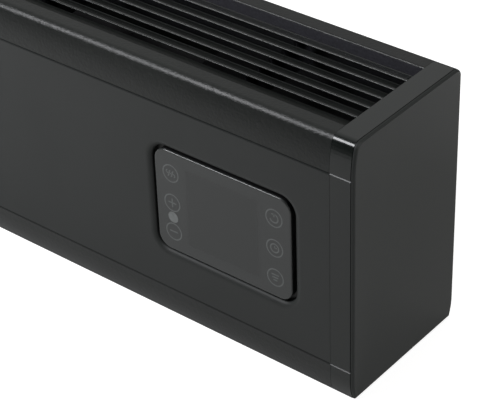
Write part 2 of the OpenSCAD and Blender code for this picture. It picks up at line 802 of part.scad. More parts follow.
module thermal_cutout() color("#2f3133") seat() {
    z = low_leg_h + leg_pitch + 17;
    axis_x(right_bracket_x + plate_metal_t, mid_y, z) cylinder(h = 2, r = 8);
    axis_x(right_bracket_x + plate_metal_t + 2 - eps, mid_y, z) cylinder(h = 5, r = 6.5);
    for (s = [-1, 1]) translate([right_bracket_x + plate_metal_t + 7 - eps, mid_y + s * 3.5 - 0.4, z - 3])
        cube([3.5, 0.8, 6]);
}

module element_leads() color("#d8d5cc") seat() for (z = leg_heights)
    axis_x(rod_end + 3, mid_y, z) cylinder(h = block_x - rod_end - 3, r = lead_r);

module partition_plate() color("#9b9fa1") seat() {
    front = base_plate_y;
    back = case_d - sheet_t - seat_gap;
    difference() {
        along_x(partition_x, partition_x + plate_metal_t) polygon([
            [front, base_top], [case_d - front, base_top], [case_d - front, foot_curve_h],
            [back, foot_curve_h], [back, partition_top], [front, partition_top]]);
        for (z = leg_heights) axis_x(partition_x - 1, mid_y, z) cylinder(h = plate_metal_t + 2, r = 4);
    }
    translate([partition_x, mid_y - partition_foot[1] / 2, base_top])
        cube([partition_foot[0], partition_foot[1], plate_metal_t]);
}

// Lid that keeps dust and warm air off the control parts, hooked over the partition
module control_cover() color("#9b9fa1") seat() facing_front(base_plate_y)
    linear_extrude(case_d - sheet_t - seat_gap - base_plate_y) {
        hook_x = partition_x + plate_metal_t + slip_gap;
        end = shell_end - cover_short;
        polygon([
            [partition_x, partition_top], [hook_x, partition_top],
            [hook_x, partition_top - cover_hook], [hook_x + plate_metal_t, partition_top - cover_hook],
            [hook_x + plate_metal_t, partition_top], [end, partition_top],
            [end, partition_top + plate_metal_t], [partition_x, partition_top + plate_metal_t]]);
    }

module partition_grommets() color("#1b1c1e") seat() for (z = leg_heights)
    translate([partition_x, mid_y, z]) rotate([0, 90, 0]) rotate_extrude() difference() {
        translate([0, -1.5]) square([5.5, plate_metal_t + 3]);
        translate([-1, -10]) square([lead_r + shaft_gap + 1, 30]);
        translate([4 - shaft_gap, -shaft_gap]) square([5, plate_metal_t + 2 * shaft_gap]);
    }

// Control parts

module board_carrier() color("#a7abad") seat() {
    translate([board_x, carrier_y, base_top]) cube([board_w, plate_metal_t, board_z + board_h - base_top]);
    translate([board_x, carrier_y, base_top]) cube([board_w, carrier_foot, plate_metal_t]);
    for (sx = [6, board_w - 6], sz = [6, board_h - 6])
        axis_y(board_x + sx, board_y + board_t, board_z + sz)
            cylinder(h = carrier_y - board_y - board_t + eps, r = 2.5);
}

module power_board() color("#23563c") seat()
    translate([board_x, board_y, board_z]) cube([board_w, board_t, board_h]);

// A part on the front face of the power board: offset along the board, height, and size
module on_board(x, z, w, d, h) seat()
    translate([board_x + x, board_y - d, board_z + z]) cube([w, d, h]);

module power_relay() color("#20507c") on_board(14, relay_z, 28, 15.5, relay_h);
module supply_transformer() color("#3a3b34") on_board(88, 8, 24, 18, 30);
module filter_capacitor() color("#b08a2e") on_board(60, 12, 18, 8, 14);

// A ceramic block of two poles, its clamp screws reached from the front
module terminal_block() color("#e2ded2") seat() difference() {
    translate([block_x, mid_y - 7, low_leg_h - 8]) cube([board_x - block_x, 13.4, leg_pitch + 16]);
    for (z = leg_heights) axis_y(block_x + 6, mid_y - 8, z) cylinder(h = 4, r = 2.4);
    translate([block_x - 1, mid_y - 8, low_leg_h + leg_pitch / 2 - 2]) cube([board_x - block_x + 2, 4, 4]);
}

module tilt_switch() color("#2b2d30") on_board(96, 56, 14, 10, 18);

module display_ribbon() color("#b7b9ba") seat()
    translate([display_x - ribbon_w / 2, flange_y, display_h - ribbon_t / 2])
        cube([ribbon_w, board_y - flange_y, ribbon_t]);

module room_sensor() color("#2f3133") seat() {
    translate([half_len - 62, mid_y - 24, base_top + 7]) rotate([0, 90, 0]) cylinder(h = 9, r = 1.8);
}

module sensor_clip() color("#d9d9d4") seat() {
    translate([half_len - 62, mid_y - 28, base_top]) cube([9, 8, 1.6]);
    translate([half_len - 60, mid_y - 24, base_top]) difference() {
        translate([0, -3, 0]) cube([5, 6, 10]);
        translate([-1, 0, 7]) rotate([0, 90, 0]) cylinder(h = 7, r = 1.85);
        translate([-1, -1.1, 8]) cube([7, 2.2, 4]);
    }
}

// Inlet recess, rocker switch and cable gland in the rear panel

module at_recess() seat() translate([recess_x, 0, recess_h]) children();

module inlet_recess() color("#1d1f21") at_recess() difference() {
    union() {
        facing_front(recess_floor - recess_wall) linear_extrude(recess_d + recess_wall)
            rounded_rect(recess_w + 2 * recess_wall, recess_hh + 2 * recess_wall, 6);
        facing_front(case_d - sheet_t - 2) linear_extrude(2)
            rounded_rect(recess_w + 14, recess_hh + 14, 8);
    }
    facing_front(recess_floor) linear_extrude(recess_d + 1) rounded_rect(recess_w, recess_hh, 4);
    hole_w = switch_body[0] + 4 * slip_gap;
    hole_h = switch_body[2] + 4 * slip_gap;
    translate([switch_x - recess_x - hole_w / 2, recess_floor - recess_wall - 1, -hole_h / 2])
        cube([hole_w, recess_wall + 2, hole_h]);
    axis_y(gland_x - recess_x, recess_floor - recess_wall - 1, 0)
        cylinder(h = recess_wall + 2, r = gland_neck_r + slip_gap);
}

module at_pivot() seat() translate([switch_x, pivot_y, recess_h]) children();

module switch_housing() color("#232527") at_pivot() {
    lift = recess_floor - pivot_y;
    difference() {
        union() {
            translate([-switch_bezel[0] / 2, lift, -switch_bezel[2] / 2]) cube(switch_bezel);
            translate([-switch_body[0] / 2, lift - switch_body[1], -switch_body[2] / 2])
                cube(switch_body + [0, eps, 0]);
            for (z = [-6, 0, 6]) translate([-2.4, lift - switch_body[1] - 7, z - 0.4])
                cube([4.8, 7 + eps, 0.8]);
        }
        translate([-rocker_w / 2 - seat_gap, -8.4, -8.8]) cube([rocker_w + 2 * seat_gap, 20, 17.6]);
        axis_x(-7, 0, 0) cylinder(h = 14, r = pivot_r + shaft_gap);
    }
}

// The rocker lies in its off position: its lower half stands proud
module switch_rocker() color("#101112") at_pivot() rotate([rocker_tilt, 0, 0]) {
    along_x(-rocker_w / 2, rocker_w / 2) polygon([
        [-1, -rocker_half], [5.2, -rocker_half], [3.7, 0], [5.2, rocker_half],
        [-1, rocker_half], [-5, 3.5], [-5, -3.5]]);
    axis_x(-rocker_w / 2 - 0.9, 0, 0) cylinder(h = rocker_w + 1.8, r = pivot_r);
}

module gland_profile() {
    difference() {
        union() {
            translate([0, -recess_wall - 9]) square([gland_neck_r, 10 + recess_wall]);
            square([gland_neck_r + 2.5, 2.5]);
            translate([0, 2.5 - eps]) square([gland_neck_r + 0.5, 5]);
        }
        translate([-1, -20]) square([gland_bore_r + 1, 40]);
    }
}

module cable_gland() color("#141516") seat()
    axis_y(gland_x, recess_floor, recess_h) rotate_extrude() gland_profile();

module gland_nut() color("#1c1e20") seat()
    axis_y(gland_x, recess_floor - recess_wall - gland_nut_t, recess_h) difference() {
        cylinder(h = gland_nut_t, r = gland_neck_r + 3, $fn = 6);
        translate([0, 0, -1]) cylinder(h = gland_nut_t + 2, r = gland_neck_r + shaft_gap);
    }

top_rail();
front_panel();
bottom_rail();
rear_panel();
base_plate();
louvre_blade(0);  // louvre_blade_1
louvre_blade(1);  // louvre_blade_2
louvre_blade(2);  // louvre_blade_3
louvre_blade(3);  // louvre_blade_4
louvre_blade(4);  // louvre_blade_5
grille_ribs();
right_end_cap();
left_end_cap();
right_side_plate();
left_side_plate();
cap_screws();
base_screws();
seam_clips();
foot_nuts();
display_glass();
sensor_lens();
display_housing();
lcd_module();
touch_board();
housing_nuts();
fin_profile();
heating_rod();
left_element_bracket();
right_element_bracket();
ceramic_bushes();
front_heat_shield();
rear_heat_shield();
thermal_cutout();
element_leads();
partition_plate();
partition_grommets();
control_cover();
board_carrier();
power_board();
power_relay();
supply_transformer();
filter_capacitor();
terminal_block();
tilt_switch();
display_ribbon();
room_sensor();
sensor_clip();
inlet_recess();
switch_housing();
switch_rocker();
cable_gland();
gland_nut();
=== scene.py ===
# Low convector heater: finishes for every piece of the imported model, the marks on the
# display's touch keys, a pale floor, studio light and the camera.
# Lengths are in metres, in the model's frame: X runs towards the display's end, the
# front faces -Y, and the heater stands on Z = 0.

import json
import math

import bpy
from mathutils import Matrix, Vector


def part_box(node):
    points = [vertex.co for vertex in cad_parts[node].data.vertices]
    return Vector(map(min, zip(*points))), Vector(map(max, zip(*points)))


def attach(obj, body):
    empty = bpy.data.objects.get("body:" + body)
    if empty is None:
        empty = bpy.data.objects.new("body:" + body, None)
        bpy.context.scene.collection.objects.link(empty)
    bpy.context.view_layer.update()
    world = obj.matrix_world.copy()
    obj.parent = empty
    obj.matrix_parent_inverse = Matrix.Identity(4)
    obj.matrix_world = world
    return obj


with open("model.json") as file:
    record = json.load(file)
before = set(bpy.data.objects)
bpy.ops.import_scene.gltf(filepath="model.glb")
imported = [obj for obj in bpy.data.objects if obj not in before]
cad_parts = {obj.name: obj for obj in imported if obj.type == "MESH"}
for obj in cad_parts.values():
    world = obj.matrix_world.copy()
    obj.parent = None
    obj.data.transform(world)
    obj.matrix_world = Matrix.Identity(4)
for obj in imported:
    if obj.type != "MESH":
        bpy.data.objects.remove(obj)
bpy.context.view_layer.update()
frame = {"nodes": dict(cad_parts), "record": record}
nodes = frame["nodes"]
bpy.ops.object.select_all(action="DESELECT")

MM = 0.001

# From the rear panel's back to its wall inside the outlet
REAR_RIM_W = 15.6 * MM
# Half widths of the clear window in the glass's ink and of a faint band of painted shade
# round it, where the screen sits behind
WINDOW_HALF = 30.3 * MM
SHADE_BAND_HALF = 33.0 * MM

# Specular level of each skin, lowered by its matting agent; lowest on the parts deep
# inside and on the comb
COAT_GLOSS = 0.45
RAIL_GLOSS = 0.34
LOW_RAIL_GLOSS = 0.46
CAP_GLOSS = 0.43
DEEP_GLOSS = 0.15
COMB_GLOSS = 0.05


# Nodes, colours and patterns

# Cloudy patterns keep mostly between these values
USUAL_LOW, USUAL_HIGH = 0.3, 0.7
# The colour sockets of a Mix node, which have the same names as its other sockets
MIX_FIRST, MIX_SECOND, MIXED = 6, 7, 2


def linear(hex_colour):
    """An sRGB hex colour as linear red, green, blue and alpha"""
    channels = [int(hex_colour[i : i + 2], 16) / 255 for i in (1, 3, 5)]
    return [
        c / 12.92 if c <= 0.04045 else ((c + 0.055) / 1.055) ** 2.4 for c in channels
    ] + [1.0]


def add(tree, kind, sockets=None, stops=(), **settings):
    """Adds a node with its settings, sets or links its input sockets, and gives a
    colour ramp its (position, hex colour) stops"""
    node = tree.nodes.new("ShaderNode" + kind)
    for name, value in settings.items():
        setattr(node, name, value)
    for socket, value in (sockets or {}).items():
        if isinstance(value, bpy.types.NodeSocket):
            tree.links.new(value, node.inputs[socket])
        else:
            node.inputs[socket].default_value = value
    if stops:
        elements = node.color_ramp.elements
        while len(elements) < len(stops):
            elements.new(0.5)
        for element, (position, colour) in zip(elements, stops):
            element.position = position
            element.color = linear(colour)
    return node


def cloudy(tree, place, cell, detail=2.0, rough=0.5, stretch=(1, 1, 1)):
    """A cloudy pattern with cells of the given size in metres, drawn out along an axis
    by its stretch"""
    scaled = add(
        tree, "Mapping", {"Vector": place, "Scale": [1 / (cell * s) for s in stretch]}
    )
    node = add(
        tree,
        "TexNoise",
        {
            "Vector": scaled.outputs[0],
            "Scale": 1.0,
            "Detail": detail,
            "Roughness": rough,
        },
    )
    return node.outputs["Fac"]


def spread(tree, pattern, low, high):
    """Maps a cloudy pattern's usual values onto low to high"""
    node = add(
        tree,
        "MapRange",
        {
            "Value": pattern,
            "From Min": USUAL_LOW,
            "From Max": USUAL_HIGH,
            "To Min": low,
            "To Max": high,
        },
    )
    return node.outputs["Result"]


def step_up(tree, value, start, end):
    """0 up to start and 1 from end on, with a soft rise between them"""
    node = add(
        tree,
        "MapRange",
        {"Value": value, "From Min": start, "From Max": end},
        interpolation_type="SMOOTHSTEP",
    )
    return node.outputs["Result"]


def step_up_sideways(tree, start, end):
    """step_up by how squarely a surface faces the heater's left or right end"""
    facing = add(tree, "SeparateXYZ", {0: add(tree, "NewGeometry").outputs["Normal"]})
    sideways = add(tree, "Math", {0: facing.outputs["X"]}, operation="ABSOLUTE")
    return step_up(tree, sideways.outputs[0], start, end)


# Starting a finish and adding to it


def new_finish(name, shader_values=None):
    """A material with one Principled shader; returns it, its tree, the shader and the
    object's own coordinates"""
    finish = bpy.data.materials.new(name)
    finish.use_nodes = True
    tree = finish.node_tree
    tree.nodes.clear()
    shader = add(tree, "BsdfPrincipled", shader_values)
    out = add(tree, "OutputMaterial")
    tree.links.new(shader.outputs["BSDF"], out.inputs["Surface"])
    place = add(tree, "TexCoord").outputs["Object"]
    return finish, tree, shader, place


def parts_of(finish):
    """The tree, the shader and the object's own coordinates of a finish made before"""
    tree = finish.node_tree
    shader = next(n for n in tree.nodes if n.type == "BSDF_PRINCIPLED")
    place = next(n for n in tree.nodes if n.type == "TEX_COORD").outputs["Object"]
    return tree, shader, place


def lay_skin(tree, shader, colour, stops, sheen, smooth, rough, relief=None, depth=0.0):
    """Colours a skin along one pattern, takes its roughness from smooth to rough along
    another, and lets a third stand depth metres proud"""
    shades = add(tree, "ValToRGB", {"Fac": colour}, stops)
    tree.links.new(shades.outputs["Color"], shader.inputs["Base Color"])
    tree.links.new(spread(tree, sheen, smooth, rough), shader.inputs["Roughness"])
    if depth:
        raised = add(tree, "Bump", {"Height": relief, "Distance": depth})
        tree.links.new(raised.outputs["Normal"], shader.inputs["Normal"])


def roughen(finish, where, extra):
    """Makes a finish rougher by extra where the mask is 1"""
    tree, shader, _ = parts_of(finish)
    before = shader.inputs["Roughness"].links[0].from_socket
    after = add(tree, "Math", {0: where, 1: extra, 2: before}, operation="MULTIPLY_ADD")
    tree.links.new(after.outputs[0], shader.inputs["Roughness"])


def roughen_seams(finish, extra):
    """Keeps a finish matt along the edges beside the two seams, where a fold or a
    moulded line is too sharp for it to flow out"""
    matt_to, smooth_from = 0.7 * MM, 1.1 * MM
    tree, _, place = parts_of(finish)
    height = add(tree, "SeparateXYZ", {0: place}).outputs["Z"]
    for seam in SEAM_HEIGHTS:
        above = add(tree, "Math", {0: height, 1: seam}, operation="SUBTRACT")
        away = add(tree, "Math", {0: above.outputs[0]}, operation="ABSOLUTE")
        roughen(finish, step_up(tree, away.outputs[0], smooth_from, matt_to), extra)


def roughen_inward(finish, face_y, start, full, extra):
    """Makes a finish rougher where its piece turns in behind its front face, from not
    at all at start metres deep to extra at full metres"""
    tree, _, place = parts_of(finish)
    depth = add(tree, "SeparateXYZ", {0: place}).outputs["Y"]
    roughen(finish, step_up(tree, depth, face_y + start, face_y + full), extra)


def roughen_rim(finish, extra):
    """Leaves a side plate's rounded rim, where the mould was polished least, matt; the
    flat face keeps its sheen"""
    flat, rounded = 0.995, 0.93
    roughen(finish, step_up_sideways(finish.node_tree, flat, rounded), extra)


def paint_light_on_inner_wall(finish, wall_y, rim_z):
    """Paints the wall that hangs inside the outlet a lighter, mottled violet-grey as
    painted light, full near the rim and faint lower down, as painted shade under the
    louvres"""
    faint_share = 0.3
    full_to, faint_from = 9 * MM, 13 * MM
    tree, shader, place = parts_of(finish)
    parts = add(tree, "SeparateXYZ", {0: place})
    inside = step_up(tree, parts.outputs["Y"], wall_y + 0.3 * MM, wall_y + 0.1 * MM)
    below_rim = step_up(tree, parts.outputs["Z"], rim_z - 0.8 * MM, rim_z - 1.4 * MM)
    high = step_up(tree, parts.outputs["Z"], rim_z - faint_from, rim_z - full_to)
    wall = add(tree, "Math", {0: inside, 1: below_rim}, operation="MULTIPLY")
    painted_light_share = add(tree, "Math", {0: high, 1: 1 - faint_share, 2: faint_share}, operation="MULTIPLY_ADD")
    cover = add(
        tree, "Math", {0: wall.outputs[0], 1: painted_light_share.outputs[0]}, operation="MULTIPLY"
    )
    painted_light_tone = add(
        tree,
        "ValToRGB",
        {"Fac": cloudy(tree, place, 1.6 * MM, detail=3.0, rough=0.7)},
        stops=[(USUAL_LOW, "#28282b"), (USUAL_HIGH, "#39393e")],
    )
    mixed = add(
        tree,
        "Mix",
        {
            "Factor": cover.outputs[0],
            MIX_FIRST: shader.inputs["Base Color"].links[0].from_socket,
            MIX_SECOND: painted_light_tone.outputs["Color"],
        },
        data_type="RGBA",
    )
    tree.links.new(mixed.outputs[MIXED], shader.inputs["Base Color"])


# Finishes


def textured_powder_coat(name, dark, pale, roughness, grain, relief, gloss=COAT_GLOSS):
    """Polyester powder on bent sheet: flows out into a fine pebbled skin that breaks
    highlights into grains; the matting agent lowers its gloss"""
    finish, tree, shader, place = new_finish(name, {"Specular IOR Level": gloss})
    # The real pebbles are partly too fine to show, so they are drawn coarse enough to
    pebbles = cloudy(tree, place, grain, detail=3.0, rough=0.65)
    cloud = cloudy(tree, place, 60 * MM)
    tone = add(
        tree,
        "Math",
        {0: spread(tree, pebbles, 0.2, 0.8), 1: spread(tree, cloud, -0.15, 0.15)},
        operation="ADD",
    )
    lay_skin(
        tree,
        shader,
        colour=tone.outputs[0],
        stops=[(0.0, dark), (1.0, pale)],
        sheen=cloud,
        smooth=roughness - 0.03,
        rough=roughness + 0.03,
        relief=pebbles,
        depth=relief,
    )
    return finish


def comb_painted_shade_and_light(name):
    """Thin sheet comb under the louvres, dead matt: its lit cut edges are painted
    near-black as painted shade, and its shaded broad sides a mottled dark grey as
    painted light"""
    edge, broad_side = 0.4, 0.8
    finish, tree, shader, place = new_finish(name, {"Specular IOR Level": COMB_GLOSS})
    patches = cloudy(tree, place, 2 * MM)
    painted_light_tone = add(
        tree,
        "ValToRGB",
        {"Fac": patches},
        stops=[(USUAL_LOW, "#28282c"), (USUAL_HIGH, "#2e2e32")],
    )
    # Faces that face the heater's ends get the painted light; all other faces, the lit
    # edges, get near-black painted shade
    mixed = add(
        tree,
        "Mix",
        {
            "Factor": step_up_sideways(tree, edge, broad_side),
            MIX_FIRST: linear("#050506"),
            MIX_SECOND: painted_light_tone.outputs["Color"],
        },
        data_type="RGBA",
    )
    tree.links.new(mixed.outputs[MIXED], shader.inputs["Base Color"])
    tree.links.new(spread(tree, patches, 0.85, 0.95), shader.inputs["Roughness"])
    return finish


def moulded_plastic(name, dark, pale, roughness, relief=0.012 * MM, gloss=COAT_GLOSS):
    """Plastic from a spark-eroded mould: a satin skin with very shallow pitting, or none
    where the mould was polished"""
    finish, tree, shader, place = new_finish(name, {"Specular IOR Level": gloss})
    # Real pits are too fine to show, so these are drawn coarse enough to
    pits = cloudy(tree, place, 0.9 * MM, rough=0.6)
    flow = cloudy(tree, place, 40 * MM, detail=1.0)
    lay_skin(
        tree,
        shader,
        colour=spread(tree, flow, 0.0, 1.0),
        stops=[(0.0, dark), (1.0, pale)],
        sheen=flow,
        smooth=roughness - 0.02,
        rough=roughness + 0.02,
        relief=pits,
        depth=relief,
    )
    return finish


def zinc_coated_sheet(name):
    """Hot-dip galvanised steel: grey, with faint crystal spangles and rolling lines"""
    finish, tree, shader, place = new_finish(name, {"Metallic": 1.0})
    spangle = add(tree, "TexVoronoi", {"Vector": place, "Scale": 1 / (7 * MM)})
    # Real rolling lines are too fine to show, so these are drawn coarse enough to
    lines = cloudy(tree, place, 1.5 * MM, stretch=(20, 1, 1))
    tone = add(
        tree,
        "Math",
        {0: spangle.outputs["Color"], 1: spread(tree, lines, -0.2, 0.2)},
        operation="ADD",
    ).outputs[0]
    lay_skin(
        tree,
        shader,
        colour=tone,
        stops=[(0.0, "#9a9fa3"), (1.0, "#c2c6c8")],
        sheen=tone,
        smooth=0.36,
        rough=0.5,
    )
    return finish


def zinc_plated_steel(name):
    """Bright zinc on turned and cold-headed fasteners, with fine turning marks"""
    finish, tree, shader, place = new_finish(name, {"Metallic": 1.0})
    # Real turning marks are too fine to show, so these are drawn coarse enough to
    marks = cloudy(tree, place, 0.5 * MM, detail=3.0)
    lay_skin(
        tree,
        shader,
        colour=marks,
        stops=[(USUAL_LOW, "#b4b8ba"), (USUAL_HIGH, "#d3d6d8")],
        sheen=marks,
        smooth=0.22,
        rough=0.38,
        relief=marks,
        depth=0.01 * MM,
    )
    return finish


def extruded_aluminium(name):
    """Mill-finish aluminium profile: bright, with die lines along its length"""
    finish, tree, shader, place = new_finish(name, {"Metallic": 1.0})
    # Real die lines are too fine to show, so these are drawn coarse enough to
    lines = cloudy(tree, place, 0.7 * MM, detail=3.0, stretch=(200, 1, 1))
    lay_skin(
        tree,
        shader,
        colour=lines,
        stops=[(USUAL_LOW, "#c9ccce"), (USUAL_HIGH, "#e2e4e6")],
        sheen=lines,
        smooth=0.28,
        rough=0.42,
        relief=lines,
        depth=0.02 * MM,
    )
    return finish


def heated_steel(name):
    """Stainless sheath that was hot: straw and brown temper colours in soft bands"""
    finish, tree, shader, place = new_finish(name, {"Metallic": 1.0})
    bands = cloudy(tree, place, 30 * MM, stretch=(2, 1, 1))
    lay_skin(
        tree,
        shader,
        colour=bands,
        stops=[(USUAL_LOW, "#6f6a60"), (0.5, "#8c7a5c"), (USUAL_HIGH, "#7d7a76")],
        sheen=bands,
        smooth=0.3,
        rough=0.45,
    )
    return finish


def steatite(name):
    """Pressed and fired insulator ceramic: matt cream with fine specks"""
    finish, tree, shader, place = new_finish(name)
    # Real specks are too fine to show, so these are drawn coarse enough to
    specks = cloudy(tree, place, 0.8 * MM, detail=4.0, rough=0.7)
    lay_skin(
        tree,
        shader,
        colour=specks,
        stops=[(USUAL_LOW, "#b9b0a0"), (0.42, "#e2dccf"), (USUAL_HIGH, "#ebe6db")],
        sheen=specks,
        smooth=0.6,
        rough=0.75,
        relief=specks,
        depth=0.03 * MM,
    )
    return finish


def rubber(name, dark, pale, roughness):
    """Moulded elastomer: matt, with a powdery bloom that lifts its tone in patches"""
    finish, tree, shader, place = new_finish(name)
    bloom = cloudy(tree, place, 3 * MM, detail=4.0, rough=0.6)
    lay_skin(
        tree,
        shader,
        colour=bloom,
        stops=[(0.35, dark), (USUAL_HIGH, pale)],
        sheen=bloom,
        smooth=roughness - 0.06,
        rough=roughness + 0.06,
        relief=bloom,
        depth=0.02 * MM,
    )
    return finish


def glass_fibre_board(name):
    """Epoxy board under green solder mask, paler where copper tracks run beneath it"""
    track_start = 0.42
    finish, tree, shader, place = new_finish(name)
    cells = add(
        tree,
        "TexVoronoi",
        {"Vector": place, "Scale": 1 / (5 * MM)},
        distance="CHEBYCHEV",
    )
    tracks = add(
        tree,
        "Math",
        {0: cells.outputs["Distance"], 1: track_start},
        operation="GREATER_THAN",
    ).outputs[0]
    lay_skin(
        tree,
        shader,
        colour=tracks,
        stops=[(0.0, "#12402a"), (1.0, "#1f5a3b")],
        sheen=cloudy(tree, place, 2 * MM),
        smooth=0.25,
        rough=0.35,
        relief=tracks,
        depth=0.03 * MM,
    )
    return finish


def wound_core(name):
    """Transformer: taped winding, seen as close bands of amber-brown tape"""
    finish, tree, shader, place = new_finish(name)
    bands = add(
        tree,
        "TexWave",
        {"Vector": place, "Scale": 1 / (6 * MM), "Distortion": 0.4},
        bands_direction="Z",
    ).outputs["Fac"]
    lay_skin(
        tree,
        shader,
        colour=bands,
        stops=[(0.2, "#3a3524"), (0.8, "#5a5030")],
        sheen=cloudy(tree, place, 2 * MM),
        smooth=0.3,
        rough=0.45,
        relief=bands,
        depth=0.05 * MM,
    )
    return finish


def square_mask(tree, place, centre, half, edge):
    """1 inside an upright square on the front, 0 outside, blurred over edge metres"""
    moved = add(tree, "VectorMath", {0: place, 1: centre}, operation="SUBTRACT")
    away = add(tree, "VectorMath", {0: moved.outputs[0]}, operation="ABSOLUTE")
    parts = add(tree, "SeparateXYZ", {0: away.outputs[0]})
    reach = add(
        tree,
        "Math",
        {0: parts.outputs["X"], 1: parts.outputs["Z"]},
        operation="MAXIMUM",
    )
    inside = add(
        tree,
        "MapRange",
        {
            "Value": reach.outputs[0],
            "From Min": half - edge,
            "From Max": half + edge,
            "To Min": 1.0,
            "To Max": 0.0,
        },
    )
    return inside.outputs["Result"]


def back_printed_glass(name, middle, front_y):
    """Toughened cover glass: polished in front and finely ground round its edge, with
    dark ink behind it and a clear window in the ink that shows the unlit screen as a
    faintly darker square, inside a faint band of painted shade"""
    finish, tree, shader, place = new_finish(name)
    window = square_mask(tree, place, middle, WINDOW_HALF, 0.5 * MM)
    # A faint band of painted shade round the window
    screen = square_mask(tree, place, middle, SHADE_BAND_HALF, 1.2 * MM)
    steps = add(tree, "Math", {0: window, 1: screen}, operation="ADD")
    tone = add(tree, "Math", {0: steps.outputs[0], 1: 0.5}, operation="MULTIPLY")
    lay_skin(
        tree,
        shader,
        colour=tone.outputs[0],
        stops=[(0.0, "#2d2f2e"), (0.5, "#2b2d2c"), (1.0, "#262827")],
        sheen=cloudy(tree, place, 25 * MM, detail=3.0),
        smooth=0.05,
        rough=0.09,
    )
    roughen_inward(finish, front_y, start=0.02 * MM, full=0.12 * MM, extra=0.2)
    return finish


def diffusing_lens(name):
    """Milky acrylic light guide: pale grey, softly glossy"""
    finish, tree, shader, place = new_finish(name, {"IOR": 1.49})
    haze = cloudy(tree, place, 2.5 * MM, detail=3.0)
    lay_skin(
        tree,
        shader,
        colour=haze,
        stops=[(USUAL_LOW, "#5a5d5c"), (USUAL_HIGH, "#6e7170")],
        sheen=haze,
        smooth=0.3,
        rough=0.4,
    )
    return finish


def ceramic_ink(name):
    """Grey key print fired onto the glass: slightly uneven in cover"""
    finish, tree, shader, place = new_finish(name)
    cover = cloudy(tree, place, 0.6 * MM)
    lay_skin(
        tree,
        shader,
        colour=cover,
        stops=[(USUAL_LOW, "#4b4e4d"), (USUAL_HIGH, "#5a5d5c")],
        sheen=cover,
        smooth=0.25,
        rough=0.4,
    )
    return finish


def display_middle():
    low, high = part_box("display_glass")
    return (low + high) / 2


panel_low, panel_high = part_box("front_panel")
SEAM_HEIGHTS = (panel_low.z, panel_high.z)
rail_coat = textured_powder_coat(
    "textured_powder_coat",
    "#0c0f0d",
    "#141715",
    roughness=0.38,
    grain=2.4 * MM,
    relief=0.3 * MM,
    gloss=RAIL_GLOSS,
)
low_rail_coat = textured_powder_coat(
    "textured_low_rail_coat",
    "#0c0f0d",
    "#141715",
    roughness=0.38,
    grain=2.4 * MM,
    relief=0.2 * MM,
    gloss=LOW_RAIL_GLOSS,
)
# Rear panel; the wall inside its outlet carries painted light
rear_coat = textured_powder_coat(
    "rear_powder_coat_with_painted_light",
    "#0b0d0c",
    "#121413",
    roughness=0.38,
    grain=2.4 * MM,
    relief=0.3 * MM,
    gloss=RAIL_GLOSS,
)
panel_coat = textured_powder_coat(
    "smooth_powder_coat",
    "#0f1311",
    "#111513",
    roughness=0.4,
    grain=0.9 * MM,
    relief=0.006 * MM,
)
blade_coat = textured_powder_coat(
    "blade_powder_coat",
    "#171918",
    "#1b1d1c",
    roughness=0.26,
    grain=0.9 * MM,
    relief=0.006 * MM,
    gloss=RAIL_GLOSS,
)
inner_coat = textured_powder_coat(
    "matt_inner_coat",
    "#0d0d0e",
    "#121213",
    roughness=0.62,
    grain=1.0 * MM,
    relief=0.02 * MM,
    gloss=DEEP_GLOSS,
)
# The comb under the louvres carries painted shade on its edges and painted light on its
# broad sides
comb_coat = comb_painted_shade_and_light("comb_painted_shade_and_light")
cap_abs = moulded_plastic(
    "satin_moulded_cap", "#0f1311", "#111513", 0.2, gloss=CAP_GLOSS
)
side_abs = moulded_plastic(
    "satin_moulded_side", "#0f1311", "#111513", 0.2, gloss=CAP_GLOSS
)
black_nylon = moulded_plastic("black_nylon", "#0e0e0f", "#141415", 0.42)
glossy_pc = moulded_plastic(
    "glossy_polycarbonate", "#0b0b0c", "#101011", 0.12, relief=0
)
relay_pbt = moulded_plastic("blue_relay_case", "#1a4a78", "#22568a", 0.38)
film_case = moulded_plastic("yellow_film_case", "#b98a2c", "#c99a38", 0.35)
screen_film = moulded_plastic("screen_film", "#151716", "#1a1c1b", 0.2, relief=0)
black_rubber = rubber("black_rubber", "#101010", "#1c1c1c", 0.7)
silicone = rubber("silicone_sleeve", "#b3aea2", "#c8c3b6", 0.5)
key_ink = ceramic_ink("fired_key_ink")

for coat in (rail_coat, low_rail_coat, panel_coat):
    roughen_seams(coat, extra=0.45)
roughen_seams(cap_abs, extra=0.18)
# Where the panel rolls in round the display
roughen_inward(panel_coat, panel_low.y, start=0.1 * MM, full=0.6 * MM, extra=0.2)
roughen_rim(side_abs, extra=0.4)
rear_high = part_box("rear_panel")[1]
# Painted light on the wall inside the outlet, faint under the louvres as painted shade
paint_light_on_inner_wall(rear_coat, rear_high.y - REAR_RIM_W, rear_high.z)

FINISH_OF_SLOT = {
    "grained_paint": rail_coat,
    "inner_paint": inner_coat,
    "cap_plastic": cap_abs,
    "zinc_sheet": zinc_coated_sheet("galvanised_sheet"),
    "zinc_screw": zinc_plated_steel("bright_zinc"),
    "cover_glass": back_printed_glass(
        "back_printed_glass", display_middle(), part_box("display_glass")[0].y
    ),
    "lens": diffusing_lens("milky_acrylic"),
    "black_plastic": black_nylon,
    "screen": screen_film,
    "circuit_board": glass_fibre_board("green_board"),
    "fin_aluminium": extruded_aluminium("mill_aluminium"),
    "rod_steel": heated_steel("tempered_steel"),
    "ceramic": steatite("steatite"),
    "rubber": black_rubber,
    "wire_cover": silicone,
    "relay_blue": relay_pbt,
    "winding": wound_core("taped_winding"),
    "film_yellow": film_case,
    "rocker_black": glossy_pc,
}
FINISH_OF_NODE = {
    "front_panel": panel_coat,
    "bottom_rail": low_rail_coat,
    "rear_panel": rear_coat,
    "right_side_plate": side_abs,
    "left_side_plate": side_abs,
    "grille_ribs": comb_coat,
}
FINISH_OF_NODE.update({f"louvre_blade_{i}": blade_coat for i in range(1, 6)})

for part in frame["record"]["subparts"]:
    piece = nodes[part["node"]]
    finish = FINISH_OF_NODE.get(part["node"]) or FINISH_OF_SLOT[part["material_slot"]]
    piece.data.materials.clear()
    piece.data.materials.append(finish)


# Marks on the touch keys, printed on the glass

